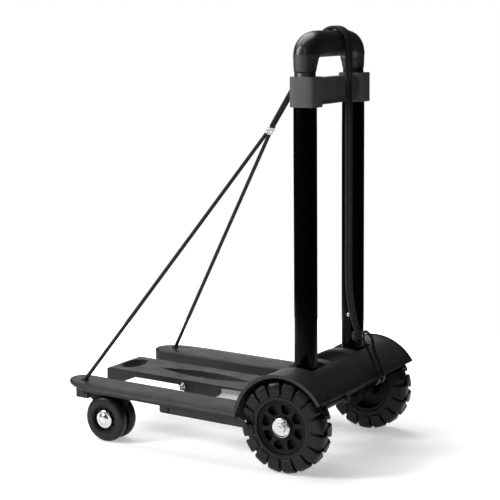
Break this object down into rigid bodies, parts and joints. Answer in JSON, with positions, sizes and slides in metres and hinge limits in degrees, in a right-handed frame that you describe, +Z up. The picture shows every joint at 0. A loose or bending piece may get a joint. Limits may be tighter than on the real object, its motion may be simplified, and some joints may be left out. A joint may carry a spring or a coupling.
{
  "type": "folding luggage cart",
  "caption": "Folding luggage cart with telescopic twin-tube handle, fold-up board platform, lugged rear wheels, small front wheels and a bungee over the handle.",
  "frame": {"origin": "on the floor under the middle of the cart's box, its bungee left out", "axes": "+Z up along the tubes, -Y towards the tips of the platform boards, +X to the cart's left, along the wheel axles"},
  "size_m": [0.3, 0.4476, 0.601],
  "materials": {
    "black_paint": "gloss enamel over steel tube",
    "inner_tube_paint": "semi-gloss",
    "clamp_plastic": "fine matt texture",
    "grip_plastic": "semi-gloss moulded plastic",
    "black_plastic": "fine spark texture",
    "board_plastic": "fine spark texture",
    "steel": "zinc plated",
    "chrome": "bright plated",
    "zinc": "dull zinc plate",
    "tyre_rubber": "matt moulded rubber",
    "front_tyre_rubber": "smooth, satin",
    "rim_plastic": "satin moulded plastic",
    "nylon": "plain nylon",
    "bungee_cord": "braided sleeve over elastic",
    "hook_coating": "dipped coating over wire"
  },
  "bodies": {
    "mast": {"outer_tube_left": "black_paint", "outer_tube_right": "black_paint", "tube_clamp": "clamp_plastic", "tube_foot_left": "black_plastic", "tube_foot_right": "black_plastic", "rear_axle": "steel", "rear_cap_left": "chrome", "rear_cap_right": "chrome", "wheel_spacer_left": "black_plastic", "wheel_spacer_right": "black_plastic", "bungee_clip": "steel", "bungee_over_left": "bungee_cord", "bungee_over_right": "bungee_cord", "bungee_tail_left": "bungee_cord", "bungee_tail_right": "bungee_cord"},
    "platform": {"rear_housing": "black_plastic", "left_board": "board_plastic", "centre_board": "board_plastic", "right_board": "board_plastic", "cross_pin": "steel", "deck_bracket_left": "zinc", "deck_bracket_right": "zinc", "front_fork_left": "black_plastic", "front_fork_right": "black_plastic", "front_axle_left": "steel", "front_axle_right": "steel", "front_cap_left": "chrome", "front_cap_right": "chrome", "cord_knot_left": "bungee_cord", "cord_knot_right": "bungee_cord", "bungee_front_left": "bungee_cord", "bungee_front_right": "bungee_cord", "bungee_knot": "bungee_cord", "bungee_hook": "hook_coating"},
    "handle": {"handle_grip": "grip_plastic", "inner_tube_left": "inner_tube_paint", "inner_tube_right": "inner_tube_paint", "tube_glide_left": "black_plastic", "tube_glide_right": "black_plastic", "snap_spring_left": "steel", "snap_spring_right": "steel"},
    "rear_wheel_left": {"rear_tyre_left": "tyre_rubber", "rear_rim_left": "rim_plastic", "rear_bush_left": "nylon"},
    "front_wheel_inner_left": {"front_tyre_inner_left": "front_tyre_rubber", "front_hub_inner_left": "rim_plastic"},
    "front_wheel_outer_left": {"front_tyre_outer_left": "front_tyre_rubber", "front_hub_outer_left": "rim_plastic"},
    "snap_button_left": {"snap_button_left": "chrome"},
    "rear_wheel_right": {"rear_tyre_right": "tyre_rubber", "rear_rim_right": "rim_plastic", "rear_bush_right": "nylon"},
    "front_wheel_inner_right": {"front_tyre_inner_right": "front_tyre_rubber", "front_hub_inner_right": "rim_plastic"},
    "front_wheel_outer_right": {"front_tyre_outer_right": "front_tyre_rubber", "front_hub_outer_right": "rim_plastic"},
    "snap_button_right": {"snap_button_right": "chrome"}
  },
  "joints": [
    {"name": "platform_fold", "type": "hinge", "parent": "mast", "child": "platform", "pos_m": [0, 0.1575, 0.065], "axis": [-1, 0, 0], "range_deg": [0, 90], "deforming": ["bungee_front_left", "bungee_front_right", "bungee_tail_left", "bungee_tail_right"]},
    {"name": "handle_slide", "type": "slide", "parent": "mast", "child": "handle", "axis": [0, 0, 1], "range_m": [0, 0.3], "deforming": ["bungee_over_left", "bungee_over_right", "snap_button_left", "snap_button_right"]},
    {"name": "rear_wheel_left_spin", "type": "hinge", "parent": "mast", "child": "rear_wheel_left", "pos_m": [0.107, 0.1575, 0.065], "axis": [1, 0, 0], "continuous": true},
    {"name": "rear_wheel_right_spin", "type": "hinge", "parent": "mast", "child": "rear_wheel_right", "pos_m": [-0.107, 0.1575, 0.065], "axis": [1, 0, 0], "continuous": true},
    {"name": "front_wheel_inner_left_spin", "type": "hinge", "parent": "platform", "child": "front_wheel_inner_left", "pos_m": [0.1035, -0.1425, 0.034], "axis": [1, 0, 0], "continuous": true},
    {"name": "front_wheel_outer_left_spin", "type": "hinge", "parent": "platform", "child": "front_wheel_outer_left", "pos_m": [0.126, -0.1425, 0.034], "axis": [1, 0, 0], "continuous": true},
    {"name": "front_wheel_inner_right_spin", "type": "hinge", "parent": "platform", "child": "front_wheel_inner_right", "pos_m": [-0.1035, -0.1425, 0.034], "axis": [1, 0, 0], "continuous": true},
    {"name": "front_wheel_outer_right_spin", "type": "hinge", "parent": "platform", "child": "front_wheel_outer_right", "pos_m": [-0.126, -0.1425, 0.034], "axis": [1, 0, 0], "continuous": true},
    {"name": "snap_button_left_press", "type": "slide", "parent": "handle", "child": "snap_button_left", "axis": [1, 0, 0], "range_m": [0, 0.0034], "stiffness_N_per_m": 600, "springref_m": -0.0015, "deforming": ["snap_spring_left"]},
    {"name": "snap_button_right_press", "type": "slide", "parent": "handle", "child": "snap_button_right", "axis": [-1, 0, 0], "range_m": [0, 0.0034], "stiffness_N_per_m": 600, "springref_m": -0.0015, "deforming": ["snap_spring_right"]}
  ]
}
